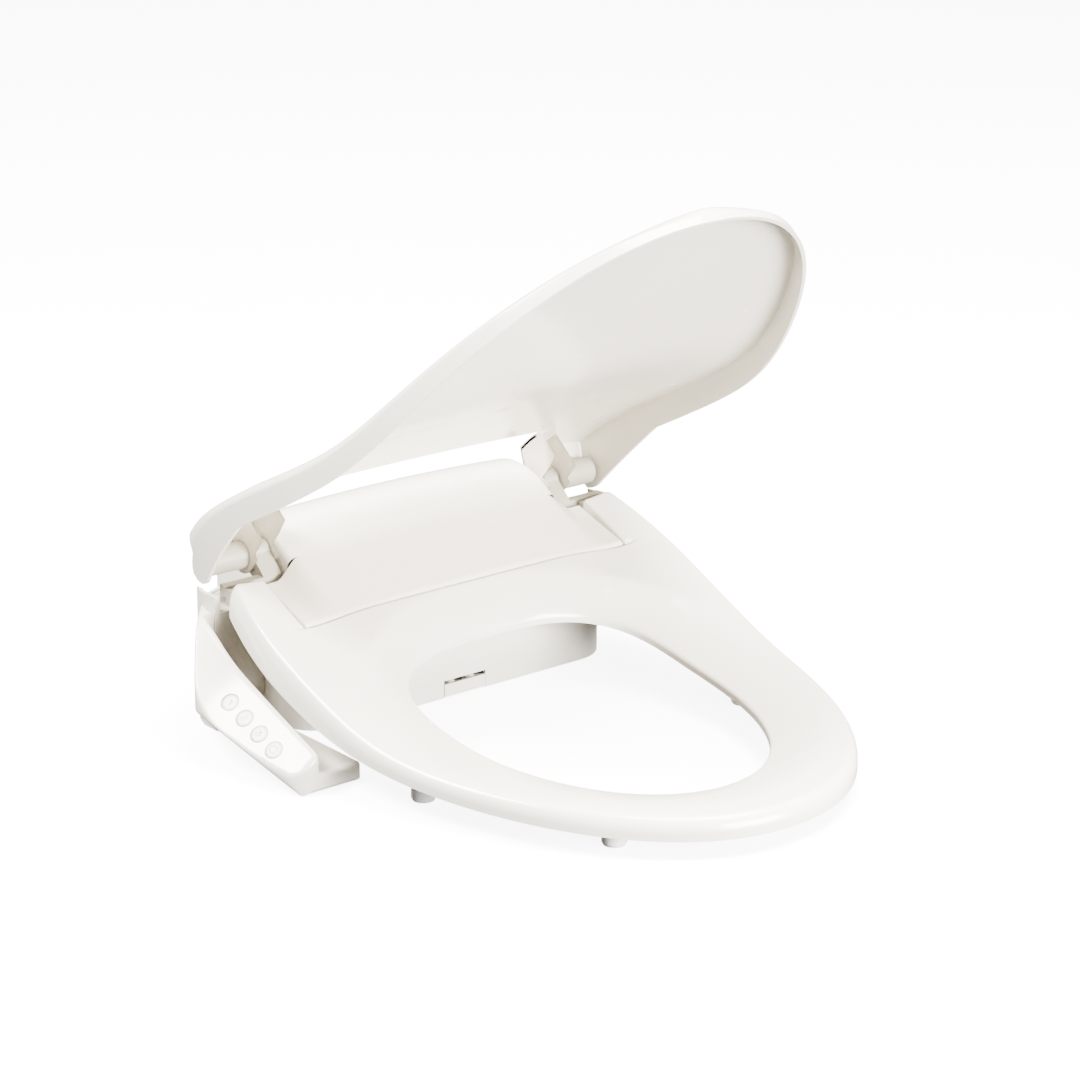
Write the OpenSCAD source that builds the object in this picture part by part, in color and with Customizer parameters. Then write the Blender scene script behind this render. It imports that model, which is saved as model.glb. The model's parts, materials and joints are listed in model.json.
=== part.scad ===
// Electric bidet seat with a side control arm: lid held half open, seat ring down.
// Millimetres. +Z is up, the front of the seat points to -Y, and the control arm is on the -X side.
// The origin is on the underside of the base, midway between the two bowl bolts.

/* [Seat ring] */
// Half width of the seat ring at its widest
seat_half_w = 195; // [185:1:205]
// Distance from the bolt line to the seat's front tip
seat_reach = 461; // [440:1:480]
// Half width of the opening
hole_half_w = 115; // [100:1:120]
// Wall thickness of the moulded shells
wall = 3; // [2.4:0.1:3.6]

/* [Lid] */
// Angle that the lid stands open from closed
lid_open = 52; // [20:1:80]
// How far the lid reaches past the seat ring all round
lid_lip = 4; // [3:0.5:8]
// Height of the lid's rim at the rear
lid_side = 30; // [24:1:34]

/* [Hinge] */
// Distance of the hinge axis in front of the bolt line
hinge_y = -20; // [-24:1:-16]
// Height of the hinge axis
hinge_z = 122.5; // [120:0.5:125]
// Radius of the hinge pins
pin_r = 5; // [4:0.25:6]

/* [Base] */
// Half width of the base's shoulders
base_half_w = 193; // [190:1:198]
// Depth of the base behind the bolt line
base_back = 50; // [46:1:60]
// Distance between the two bowl bolts
bolt_gap = 140; // [130:1:150]
// Half width of the raised rear hood
hood_half_w = 127.5; // [120:0.5:128]

/* [Control arm] */
// Outer edge of the arm, measured from the middle of the seat
arm_outer = 235; // [228:1:240]
// How far the arm reaches in front of the bolt line
arm_reach = 188; // [176:1:192]
// Diameter of a push button
button_d = 13.4; // [11:0.1:14]
// Distance from one button to the next
button_pitch = 19; // [16:0.5:20]

/* [Nozzle] */
// Slope of the nozzle below the horizontal
nozzle_tilt = 20; // [15:1:25]
// Diameter of a nozzle tube
nozzle_d = 8.4; // [7:0.1:8.6]

/* [Hidden] */
$fn = 64;

shell_colour = [0.95, 0.94, 0.91];
inner_colour = [0.85, 0.85, 0.83];
rubber_colour = [0.55, 0.54, 0.52];
metal_colour = [0.72, 0.73, 0.75];
board_colour = [0.16, 0.42, 0.25];

mid_y = -130;           // where the seat ring is widest
hole_y = -225;          // where the opening is widest
hole_front = 168;
hole_rear = 95;
notch_y = -104;         // front edge of the notch that the hood's tongue lies in
notch_half_w = 153.5;
arm_back_y = -52;       // rear edge of the seat's two arms
edge_r = 8;             // width of the rounding along the outer edge
gap = 0.3;

// Soft step used by the rising side profile
function soft(t) = t > 30 ? t : ln(1 + exp(t));
function mix(a, b, t) = a + (b - a) * max(0, min(1, t));
function power(a, n) = a <= 0 ? 0 : pow(a, n);
// Half width of a superellipse with half axes w and b, at distance d from its middle
function oval(w, b, d, n) = w * power(1 - power(abs(d) / b, n), 1 / n);

// Height of the crest that runs along the seat's outer edge
function crest_z(y) = 28.5 + 0.04 * (y + 455) + 10.25 * soft((y + 228) / 25);
// Height of the seat's underside
function under_z(y) = 12.5 + 0.045 * (y + 455) + 16.8 * soft((y + 190) / 40);

function seat_w(y, in) = y > mid_y
    ? seat_half_w - in - 9 * pow((y - mid_y) / 70, 2)
    : oval(seat_half_w - in, seat_reach + mid_y - in, y - mid_y, 2.12);
function hole_w(y, in) = y > hole_y
    ? oval(hole_half_w + in, hole_rear + in, y - hole_y, 3)
    : oval(hole_half_w + in, hole_front + in, y - hole_y, 2.1);

// Distance outward from the opening's edge, and inward from the outer edge
function from_hole(x, y) =
    let (b = y > hole_y ? hole_rear : hole_front, n = y > hole_y ? 3 : 2.1)
    let (rho = power(power(abs(x) / hole_half_w, n) + power(abs(y - hole_y) / b, n), 1 / n))
    rho <= 1 ? 0 : norm([x, y - hole_y]) * (1 - 1 / rho);
function from_edge(x, y) = y > mid_y ? max(0, seat_w(y, 0) - abs(x))
    : let (b = seat_reach + mid_y)
      let (rho = power(power(abs(x) / seat_half_w, 2.12) + power(abs(y - mid_y) / b, 2.12), 1 / 2.12))
      rho >= 1 ? 0 : rho < 0.01 ? 99 : norm([x, y - mid_y]) * (1 / rho - 1);
function roll_w(y) = y > hole_y ? mix(58, 26, pow((y - hole_y) / hole_rear, 2))
    : mix(58, 44, pow((hole_y - y) / hole_front, 2));
function edge_round(e) = e >= edge_r ? 1 : 0.3 + 0.7 * sqrt(1 - pow(1 - e / edge_r, 2));
// Height of the seat's upper surface
function seat_z(x, y) =
    let (low = under_z(y), d = from_hole(x, y), lip = low + 6)
    let (flat = crest_z(y) - 4 * exp(-pow((abs(x) - 145) / 32, 2)) * mix(0, 1, (y + 170) / 60))
    let (fall = (flat - lip) * power(1 - d / roll_w(y), 1.6))
    low + (flat - fall - low) * edge_round(from_edge(x, y));

// Even steps from a to b, and steps that crowd towards one or both ends
function steps(a, b, n) = [for (i = [0:n]) a + (b - a) * i / n];
function ease(a, b, n) = [for (i = [0:n]) a + (b - a) * (1 - cos(180 * i / n)) / 2];
function ease_in(a, b, n) = [for (i = [0:n]) a + (b - a) * (1 - cos(90 * i / n))];

across = concat([0, 0.05, 0.12, 0.22, 0.36, 0.55, 0.76], [1]);
edge_steps = [0.62, 0.3, 0.1, 0];

function ring_stations(in) = concat(
    ease_in(-seat_reach + in + 0.4, hole_y - hole_front - in, 9),
    ease(hole_y - hole_front - in + 0.2, hole_y + hole_rear + in - 0.2, 26),
    [hole_y + hole_rear + in, (hole_y + hole_rear + notch_y) / 2, notch_y - in],
    steps(notch_y - in + 0.4, arm_back_y - in, 5));
function ring_inner(y, in) = y > notch_y - in + 0.2 ? notch_half_w + in
    : (y > hole_y - hole_front - in && y < hole_y + hole_rear + in) ? hole_w(y, in) : 0;
function ring_xs(y, in) = let (xo = seat_w(y, in), xi = min(ring_inner(y, in), xo - 0.5))
    let (xr = max(xi, xo - edge_r))
    concat([for (k = across) xi + (xr - xi) * k], [for (k = edge_steps) xr + (xo - xr) * (1 - k)]);
// One closed cross-section of half the ring, from its underside up over the top and down
function ring_section(y, in, drop, lift) = let (xs = ring_xs(y, in), last = len(xs) - 1)
    concat([[xs[0], y, under_z(y) + lift]],
        [for (i = [0:last]) [xs[i], y, max(under_z(y) + lift + 0.1, seat_z(xs[i], y) - drop)]],
        [[xs[last], y, under_z(y) + lift], [(xs[0] + xs[last]) / 2, y, under_z(y) + lift]]);

// Skin over a list of closed cross-sections that all have the same number of points
module loft(sections) {
    n = len(sections[0]);
    m = len(sections);
    points = [for (s = sections) for (p = s) p];
    skin = [for (i = [0:m - 2]) for (j = [0:n - 1])
        [i * n + j, (i + 1) * n + j, (i + 1) * n + (j + 1) % n, i * n + (j + 1) % n]];
    polyhedron(points, concat(skin,
        [[for (j = [0:n - 1]) j]], [[for (j = [0:n - 1]) m * n - 1 - j]]), convexity = 8);
}

// Both halves of a mirrored form
module both() {
    children();
    mirror([1, 0, 0]) children();
}

// Turned with the lid about the hinge axis
module with_lid() {
    translate([0, hinge_y, hinge_z]) rotate([-lid_open, 0, 0])
        translate([0, -hinge_y, -hinge_z]) children();
}

// A resize of zero keeps the size: it makes the form inside it one smooth-shell mesh
module as_mesh() { resize([0, 0, 0]) children(); }

module ring_form(in, drop, lift) {
    loft([for (y = ring_stations(in)) ring_section(y, in, drop, lift)]);
}

// ---- Seat ring ----
module seat_top() {
    color(shell_colour) as_mesh() difference() {
        both() ring_form(0, 0, 0);
        both() ring_form(wall, wall, -4);
    }
}

floor_t = 2.4;
module seat_bottom() {
    color(inner_colour) as_mesh() both() loft([for (y = ring_stations(wall + gap))
        let (xs = ring_xs(y, wall + gap), z = under_z(y))
        [[xs[0], y, z], [xs[0], y, z + floor_t], [xs[len(xs) - 1], y, z + floor_t], [xs[len(xs) - 1], y, z]]]);
}

heater_tilt = 3.1;
module heater_band(in, out) {
    difference() {
        polygon([for (a = [0:6:354]) [(seat_half_w - out) * cos(a), mid_y - 20 + (seat_reach + mid_y - out - 20) * sin(a)]]);
        polygon([for (a = [0:6:354]) [(hole_half_w + in) * cos(a), hole_y + (hole_front + in) * sin(a)]]);
        translate([-seat_half_w, hole_y]) square([2 * seat_half_w, 400]);
    }
}
module seat_heater() {
    color("darkorange") translate([0, hole_y, 31.8]) rotate([heater_tilt, 0, 0])
        translate([0, -hole_y, 0]) linear_extrude(0.6) heater_band(26, 20);
}

bumper_spots = [[97, -386], [152, -243]];
module seat_bumpers() {
    color(rubber_colour) for (s = [-1, 1]) for (p = bumper_spots)
        translate([s * p[0], p[1], 0]) union() {
            cylinder(h = 2, r1 = 8, r2 = 9);
            translate([0, 0, 2]) cylinder(h = under_z(p[1]) - 3.1, r = 9);
        }
}

// ---- Hinge ----
lug_in = 131;
lug_out = 147;
barrel_in = 150.5;
run_fit = 0.05;
module pin_bore(x0, x1) {
    translate([x0, hinge_y, hinge_z]) rotate([0, 90, 0]) cylinder(h = x1 - x0, r = pin_r + run_fit);
}
bar_y = hinge_y - 24;
bar_z = hinge_z - 20.5;
module lug_plate() {
    // Side view of the lug round the pin and of its web down to the bar
    translate([hinge_y, hinge_z]) circle(r = 9.5);
    polygon([[hinge_y - 9.4, hinge_z + 1], [bar_y, bar_z + 8], [bar_y, bar_z], [bar_y + 8, bar_z],
        [hinge_y + 1, hinge_z - 9.4]]);
}
module seat_hinge_arms() {
    color(inner_colour) both() difference() {
        union() {
            translate([lug_in, 0, 0]) rotate([90, 0, 90]) linear_extrude(lug_out - lug_in) lug_plate();
            translate([lug_in, bar_y, bar_z]) cube([50, 8, 8]);
            translate([155, arm_back_y + 0.1, bar_z - 6]) cube([26, bar_y - arm_back_y, 12]);
        }
        pin_bore(lug_in - 1, lug_out + 1);
    }
}
module hinge_pins() {
    color(metal_colour) both() translate([118, hinge_y, hinge_z]) rotate([0, 90, 0]) union() {
        cylinder(h = 62, r = pin_r);
        cylinder(h = 5, r = 7);
    }
}
module damper(x0) {
    translate([x0, hinge_y, hinge_z]) rotate([0, 90, 0]) union() {
        cylinder(h = 50, r = 6.6);
        translate([0, 0, -3]) cylinder(h = 8, r = 6.9);
        translate([0, 0, 50]) cylinder(h = 3, r = 4);
    }
}
module seat_damper() { color("gray") mirror([1, 0, 0]) damper(64); }
module lid_damper() { color("dimgray") damper(64); }

// ---- Lid, drawn closed and then turned open ----
cut_y = -66;            // rear edge of the lid's panel
rim_gap = 4;
arm_in = 133;           // inner edge of the lid's two arms
ear_r = 15;
ear_back = -5.5;
lid_cap = 151;
function lid_w(y, in) = y > mid_y
    ? seat_half_w + lid_lip - in - 10 * pow((y - mid_y) / 110, 2)
    : oval(seat_half_w + lid_lip - in, seat_reach + 7 + mid_y - in, y - mid_y, 2.12);
function lid_from_edge(x, y) = y > mid_y ? max(0, lid_w(y, 0) - abs(x))
    : let (b = seat_reach + 7 + mid_y, w = seat_half_w + lid_lip)
      let (rho = power(power(abs(x) / w, 2.12) + power(abs(y - mid_y) / b, 2.12), 1 / 2.12))
      rho >= 1 ? 0 : rho < 0.01 ? 99 : norm([x, y - mid_y]) * (1 / rho - 1);
// Height of the rim: it follows the seat's crest, then drops round the hinge
function rim_z(y) = y < -100 ? crest_z(y) + rim_gap
    : y < hinge_y ? mix(crest_z(-100) + rim_gap, hinge_z - ear_r, 1 - pow(1 - (y + 100) / 80, 1.6))
    : hinge_z - sqrt(max(0, ear_r * ear_r - pow(y - hinge_y, 2)));
function lid_height(y) = mix(12, lid_side, pow((y + seat_reach + 7) / 330, 0.8));
// The panel flattens below a cap, and slopes away behind the hinge
function lid_flat(y) = lid_cap - 8 * soft((lid_cap - crest_z(y) - lid_height(y)) / 8);
function ear_top(y) = y < hinge_y ? hinge_z + ear_r + 1.5 * (hinge_y - y)
    : hinge_z + sqrt(max(1, ear_r * ear_r - pow(y - hinge_y, 2)));
function lid_z(x, y) = let (e = lid_from_edge(x, y), low = rim_z(y), w = max(1, lid_w(y, 0)))
    let (crown = 6 + 6 * mix(0, 1, (-90 - y) / 80) - 6 * mix(0, 1, (-300 - y) / 168))
    let (full = min(lid_flat(y) + crown * (1 - pow(abs(x) / w, 2)) , ear_top(y)))
    low + (full - low) * (e >= 9 ? 1 : 0.7 + 0.3 * sqrt(1 - pow(1 - e / 9, 2)));
function lid_stations(in) = concat(
    ease_in(-seat_reach - 7 + in + 0.4, -330, 9),
    steps(-316, -110, 10), [-90, cut_y - 0.4],
    [cut_y, -60, -53, -46, -38, -30], steps(-24, ear_back - in, 8));
ear_in = 149;           // inner edge of the ears round the hinge
function lid_inner(y, open) = y > cut_y - 0.2 ? mix(arm_in, ear_in, (y + 60) / 14) - open : 0;
function lid_xs(y, in, open) = let (xo = lid_w(y, in), xi = min(lid_inner(y, open), xo - 0.5))
    let (xr = max(xi, xo - 9))
    concat([for (k = [0, 0.2, 0.4, 0.6, 0.8, 1]) xi + (xr - xi) * k],
        [for (k = edge_steps) xr + (xo - xr) * (1 - k)]);
function lid_section(y, in, drop, lower, open) = let (xs = lid_xs(y, in, open), last = len(xs) - 1)
    concat([[xs[0], y, rim_z(y) - lower]],
        [for (i = [0:last]) [xs[i], y, max(rim_z(y) - lower + 0.1, lid_z(xs[i], y) - drop)]],
        [[xs[last], y, rim_z(y) - lower]]);
module lid_form(in, drop, lower, open) {
    loft([for (y = lid_stations(in)) lid_section(y, in, drop, lower, open)]);
}
module lid_shell() {
    color(shell_colour) with_lid() as_mesh() difference() {
        both() lid_form(0, 0, 0, 0);
        both() lid_form(wall, wall, 3, 4);
    }
}
module lid_hinge_barrels() {
    color(inner_colour) with_lid() both() difference() {
        translate([barrel_in, hinge_y, hinge_z]) rotate([0, 90, 0])
            cylinder(h = lid_w(hinge_y + 11, 0) - wall - barrel_in - 0.05, r = 10.8);
        pin_bore(barrel_in - 1, 181);
    }
}

// ---- Base ----
tray_h = 58;
deck_z = 92;
module tray_plan(in) {
    polygon([[-150 + in, -62 + in], [150 - in, -62 + in], [150 - in, 14], [142 - in, 24], [142 - in, base_back - 12],
        [130 - in, base_back - in], [-130 + in, base_back - in], [-142 + in, base_back - 12],
        [-142 + in, 24], [-150 + in, 14]]);
    translate([-115, -97 + in]) square([230, 60]);
    for (s = [-1, 1]) translate([s * 115, -62]) circle(r = 35 - in);
    shoulder_plan(in);
}
module shoulder_plan(in) {
    polygon([[-base_half_w + in, -46 + in], [base_half_w - in, -46 + in], [base_half_w - in, -29],
        [base_half_w - 5 - in, -16 - in / 2], [base_half_w - 18 - in / 2, -6 - in], [150 - in, 6 - in],
        [-150 + in, 6 - in], [-base_half_w + 18 + in / 2, -6 - in],
        [-base_half_w + 5 + in, -16 - in / 2], [-base_half_w + in, -29]]);
}
gate_x = 0;
gate_z = 5.6;
module nozzle_frame() { translate([gate_x, -97, gate_z]) rotate([nozzle_tilt, 0, 0]) children(); }
inlet_x = -90;
inlet_z = 24;
gland_x = 112;
screw_x = 135;
screw_rows = [-34, -8];
module base_tray() {
    color(inner_colour) difference() {
        union() {
            linear_extrude(tray_h) tray_plan(0);
            linear_extrude(deck_z) shoulder_plan(0);
            translate([0, 0, deck_z - 1]) linear_extrude(14) difference() {
                shoulder_plan(0);
                shoulder_plan(wall);
                square([376, 200], center = true);
            }
        }
        difference() {
            translate([0, 0, 8]) linear_extrude(200) tray_plan(wall);
            for (s = [-1, 1]) for (y = screw_rows) translate([s * screw_x, y, 7])
                cylinder(h = deck_z - 3.2 - 7, r = 4.5);
        }
        for (s = [-1, 1]) for (y = screw_rows) translate([s * screw_x, y, deck_z - 14]) cylinder(h = 20, r = 1.3);
        translate([0, 0, -1]) linear_extrude(5) tray_plan(wall);
        translate([-hood_half_w, -46 - 1, tray_h]) cube([2 * hood_half_w, 120, 60]);
        // nozzle gate
        translate([gate_x - 20, -100, -1]) cube([40, 12, 12.2]);
        nozzle_frame() translate([-20, -2, -6.8]) cube([40, 52, 14.6]);
        translate([inlet_x, base_back + 1, inlet_z]) rotate([90, 0, 0]) cylinder(h = 8, r = 12);
        translate([gland_x, base_back + 1, inlet_z]) rotate([90, 0, 0]) cylinder(h = 8, r = 7);
    }
}

// Side view of the hood and of the tongue in front of it
hood_peak_z = 137.5;
crease_y = -48.6;
crease_z = 121;
tongue_z = 91;
function hood_profile(in) = concat(
    [[crease_y + in * 0.4, crease_z - in * 1.2]],
    [for (a = [-36:6:0]) [-2 + (71 - in) * sin(a), hood_peak_z - 71 + (71 - in) * cos(a)]],
    [for (a = [9:9:90]) [-2 + (52 - in) * sin(a), hood_peak_z - 52 + (52 - in) * cos(a)]],
    [[base_back - in, tray_h], [-95, tray_h], [-101 + in, tray_h], [-101 + in, tongue_z - 3 - in]]);
module side_profile(half_w, pts) {
    translate([-half_w, 0, 0]) rotate([90, 0, 90]) linear_extrude(2 * half_w) polygon(pts);
}
module rear_cover() {
    color(shell_colour) difference() {
        union() {
            side_profile(hood_half_w, hood_profile(0));
            // tongue, and the wings on each side of the hood
            side_profile(151.5, [[-102.6, tongue_z], [-50.5, 107], [-50.5, 103.6], [-102.6, tongue_z - 3.2]]);
            // decks under the lid's ears
            translate([0, 0, deck_z - 3]) linear_extrude(3) shoulder_plan(wall + gap);
        }
        difference() {
            side_profile(hood_half_w - wall, hood_profile(wall));
            translate([-200, -200, 0]) cube([400, 400, 0.01]);
        }
        translate([-hood_half_w + wall, -101 + wall, tray_h - 1]) cube([2 * (hood_half_w - wall), 150 - wall, 20]);
        for (s = [-1, 1]) translate([s * (hood_half_w - 1.5) - 5, hinge_y, hinge_z]) rotate([0, 90, 0])
            cylinder(h = 10, r = pin_r + run_fit);
        for (s = [-1, 1]) for (y = screw_rows) translate([s * screw_x, y, deck_z - 5]) cylinder(h = 10, r = 1.6);
    }
}
module cover_screws() {
    color(metal_colour) for (s = [-1, 1]) for (y = screw_rows)
        translate([s * screw_x, y, deck_z]) union() {
            cylinder(h = 1.6, r = 3.2);
            translate([0, 0, -8]) cylinder(h = 8.5, r = 1.25);
        }
}

slot_len = 24;
slot_r = 4.25;
bracket_t = 3.4;
module slot(h) {
    for (s = [-1, 1]) translate([s * bolt_gap / 2, 0, -1]) union() {
        translate([-slot_len / 2 + slot_r, -slot_r, 0]) cube([slot_len - 2 * slot_r, 2 * slot_r, h]);
        for (t = [-1, 1]) translate([t * (slot_len / 2 - slot_r), 0, 0]) cylinder(h = h, r = slot_r);
    }
}
module mounting_bracket() {
    color(metal_colour) difference() {
        translate([-105, -24, 0.8]) cube([210, 48, bracket_t - 0.8]);
        slot(8);
    }
}
module bracket_pad() {
    color(rubber_colour) difference() {
        translate([-100, -22, 0]) cube([200, 44, 0.8]);
        slot(8);
    }
}

// ---- Control arm ----
panel_roll = -39;       // tilt towards the user's side
panel_pitch = 20.3;     // slope down towards the front
panel_mid = [-220, -130.3, 36.9];
rise_from = [-210, -84, 62.7];
arm_wall = 2.4;
arm_top = 96;
ledge_x = -202;
ledge_z = 14;
module on_panel() {
    translate(panel_mid) rotate([panel_pitch, 0, 0]) rotate([0, panel_roll, 0]) children();
}
module arm_plan(in) {
    polygon([[-165 - in, -arm_reach + in], [-arm_outer + 21, -arm_reach + in],
        [-arm_outer + 12 + in, -arm_reach + 8 + in / 2], [-arm_outer + 3 + in, -130], [-arm_outer + in, -84],
        [-arm_outer + 16 + in, -58], [-arm_outer + 32 + in * 0.6, -40 - in * 0.6],
        [-base_half_w - 1.2 - in, -31 - in * 2.5],
        [-base_half_w - 0.6 - in, -46.6 - in], [-165 - in, -46.6 - in]]);
}
module arm_form(in, z0) {
    difference() {
        translate([0, 0, z0]) linear_extrude(arm_top - in - z0) arm_plan(in);
        intersection() {
            on_panel() translate([-150, -150, -in]) cube([300, 300, 260]);
            translate(rise_from) rotate([40.4, 0, 0]) rotate([0, -25, 0])
                translate([-150, -150, -in]) cube([300, 300, 260]);
        }
        translate([ledge_x - in, -260, ledge_z - in]) cube([80, 260 - 46.6 + in, 100]);
        under_slope(in);
    }
}
// Space below the arm's outer edge, which slopes in and down to the floor
module under_slope(in) {
    translate([-arm_outer, -84, 36]) rotate([10.8, 0, 0]) rotate([0, 41.45, 0])
        translate([-150, -200, -200]) cube([300, 400, 200 + in]);
}
module arm_cover() {
    color(shell_colour) difference() {
        arm_form(0, 0);
        arm_form(arm_wall, -1);
        for (i = [0:3]) button_place(i) translate([0, 0, -6]) cylinder(h = 12, r = button_d / 2 + 0.25);
        on_panel() translate([-14.4, -39, -0.7]) cube([27.8, 76, 5]);
    }
}
module arm_floor() {
    color(inner_colour) difference() {
        linear_extrude(2) arm_plan(arm_wall + gap);
        under_slope(arm_wall + gap);
        for (p = screw_spots) translate([p[0], p[1], -1]) cylinder(h = 5, r = 1.6);
    }
}
screw_spots = [[-200, -176], [-175, -176], [-175, -60], [-186, -120]];
module arm_screws() {
    color(metal_colour) for (p = screw_spots) translate([p[0], p[1], 0.1]) cylinder(h = 7, r = 1.5);
}
module button_place(i) {
    on_panel() translate([0, button_pitch * (1.5 - i), 0]) children();
}
film_t = 0.5;
module panel_film() {
    color([0.93, 0.92, 0.9]) difference() {
        on_panel() translate([-14.1, -38.7, -film_t - 0.1]) cube([27.2, 75.4, film_t]);
        for (i = [0:3]) button_place(i) translate([0, 0, -3]) cylinder(h = 6, r = button_d / 2 + 0.25);
    }
}
button_travel = 1.2;
module push_button(i) {
    button_place(i) union() {
        translate([0, 0, -3.6]) cylinder(h = 4.2, r = button_d / 2);
        translate([0, 0, -5.4]) cylinder(h = 2, r = button_d / 2 - 2.5);
    }
}
module dry_button() { color("whitesmoke") push_button(0); }
module rear_wash_button() { color("whitesmoke") push_button(1); }
module front_wash_button() { color("whitesmoke") push_button(2); }
module stop_button() { color([0.93, 0.8, 0.78]) push_button(3); }
board_depth = 9.6;
module button_board() {
    color(board_colour) on_panel() translate([-8, -37, -board_depth - 1.2]) cube([16, 73, 1.2]);
}
module button_switches() {
    color("dimgray") for (i = [0:3]) button_place(i)
        translate([-3, -3, -board_depth]) cube([6, 6, board_depth - 5.4 - button_travel - 0.3]);
}

// ---- Nozzle ----
tube_len = 102.5;
tube_gap = 19;
module nozzle_tubes() {
    color("white") nozzle_frame() for (s = [-1, 1]) translate([s * tube_gap / 2, 4.5, 0])
        rotate([-90, 0, 0]) difference() {
            cylinder(h = tube_len, r = nozzle_d / 2);
            translate([0, 0, 6]) cylinder(h = tube_len, r = nozzle_d / 2 - 1.6);
        }
}
module nozzle_carriage() {
    color("gainsboro") nozzle_frame() difference() {
        translate([-17, 93, -6]) cube([34, 13, 12]);
        for (s = [-1, 1]) translate([s * tube_gap / 2, 90, 0]) rotate([-90, 0, 0])
            cylinder(h = 20, r = nozzle_d / 2);
    }
}
module nozzle_shield() {
    color(shell_colour) translate([gate_x - 19.5, -97.3, 0.7]) cube([39, 2.2, 10]);
}
module nozzle_guide() {
    color(inner_colour) nozzle_frame() difference() {
        translate([-19.6, 30, -9]) cube([39.2, 80, 14]);
        translate([-17.4, 11, -6.4]) cube([34.8, 100, 30]);
        translate([-21, 29, -12]) cube([42, 16, 4.6]);
    }
}
module nozzle_motor() {
    color("silver") nozzle_frame() translate([-20.2, 86, 0]) rotate([0, -90, 0]) union() {
        cylinder(h = 16, r = 9);
        translate([0, 0, 16]) cylinder(h = 3, r = 3);
    }
}
module nozzle_seal() {
    color(rubber_colour) nozzle_frame() for (s = [-1, 1]) translate([s * tube_gap / 2, 107.4, 0])
        rotate([-90, 0, 0]) cylinder(h = 3, r = nozzle_d / 2 - 0.6);
}

// ---- Water and electrics inside the base ----
module heater_tank() {
    color("gainsboro") difference() {
        translate([36, -56, 9]) cube([78, 74, 44]);
        translate([39, -53, 12]) cube([72, 68, 50]);
    }
}
module tank_cap() {
    color("lightgray") difference() {
        translate([36, -56, 53.1]) cube([78, 74, 4]);
        translate([75, -19, 50]) cylinder(h = 10, r = 5.2);
    }
}
module heater_element() {
    color(metal_colour) for (x = [54, 66, 84, 96]) translate([x, -44, 16]) cylinder(h = 30, r = 3);
}
module water_valve() {
    color("white") translate([inlet_x - 17, -14, 12]) union() {
        cube([34, 28, 24]);
        translate([17, 14, 24]) cylinder(h = 4, r = 9);
    }
}
module valve_coil() {
    color("firebrick") translate([inlet_x, 0, 40.3]) cylinder(h = 14, r = 10);
}
module water_inlet() {
    color("white") translate([inlet_x, base_back, inlet_z]) rotate([90, 0, 0]) difference() {
        union() {
            translate([0, 0, -17]) cylinder(h = 21, r = 10.4);
            translate([0, 0, -3]) cylinder(h = 2.8, r = 14);
            translate([0, 0, 3.3]) cylinder(h = base_back - 3.3 - 14.2, r = 5);
        }
        translate([0, 0, -18]) cylinder(h = 20, r = 7);
        translate([0, 0, -18]) cylinder(h = 90, r = 3);
    }
}
module inlet_filter() {
    color("gray") translate([inlet_x, base_back + 15, inlet_z]) rotate([90, 0, 0]) difference() {
        cylinder(h = 12, r = 6.6);
        translate([0, 0, -1]) cylinder(h = 10, r = 5.6);
    }
}
module inlet_washer() {
    color(rubber_colour) translate([inlet_x, base_back + 17 + 2.2, inlet_z]) rotate([90, 0, 0]) difference() {
        cylinder(h = 2, r = 9.5);
        translate([0, 0, -1]) cylinder(h = 5, r = 5);
    }
}
module hose(from, to, r) {
    translate(from) rotate([0, 90, 0]) difference() {
        cylinder(h = to[0] - from[0], r = r);
        translate([0, 0, -1]) cylinder(h = to[0] - from[0] + 2, r = r - 1.2);
    }
}
module supply_hose() { color("lightblue") hose([inlet_x + 17.4, 8, 20], [35.6, 8, 20], 4); }
module nozzle_hose() { color("lightblue") hose([inlet_x + 17.4, 8, 32], [-24, 8, 32], 3); }
module main_board() {
    color(board_colour) translate([-60, 40, 10]) cube([150, 1.6, 44]);
}
module board_parts() {
    color("dimgray") for (x = [-50:26:70]) translate([x, 41.7, 18]) cube([12, 4.4, 18]);
}
module power_relay() {
    color("royalblue") translate([50, 24.3, 16]) cube([30, 15.5, 22]);
}
module cord_gland() {
    color("dimgray") translate([gland_x, base_back - wall - 4, inlet_z]) rotate([-90, 0, 0]) difference() {
        union() {
            cylinder(h = 3.8, r = 9);
            cylinder(h = 16, r = 6.8);
            translate([0, 0, 7.2]) cylinder(h = 5, r = 9);
        }
        translate([0, 0, -1]) cylinder(h = 30, r = 3.6);
    }
}

seat_top();
seat_bottom();
seat_heater();
seat_bumpers();
seat_hinge_arms();
lid_shell();
lid_hinge_barrels();
hinge_pins();
seat_damper();
lid_damper();
base_tray();
rear_cover();
mounting_bracket();
bracket_pad();
cover_screws();
arm_cover();
arm_floor();
panel_film();
button_board();
button_switches();
dry_button();
rear_wash_button();
front_wash_button();
stop_button();
nozzle_tubes();
nozzle_carriage();
nozzle_shield();
nozzle_guide();
nozzle_motor();
nozzle_seal();
heater_tank();
heater_element();
tank_cap();
water_valve();
valve_coil();
water_inlet();
inlet_filter();
inlet_washer();
supply_hose();
nozzle_hose();
main_board();
board_parts();
power_relay();
cord_gland();
arm_screws();
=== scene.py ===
import json
import math
import bpy
import bmesh
from mathutils import Matrix, Vector


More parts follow.
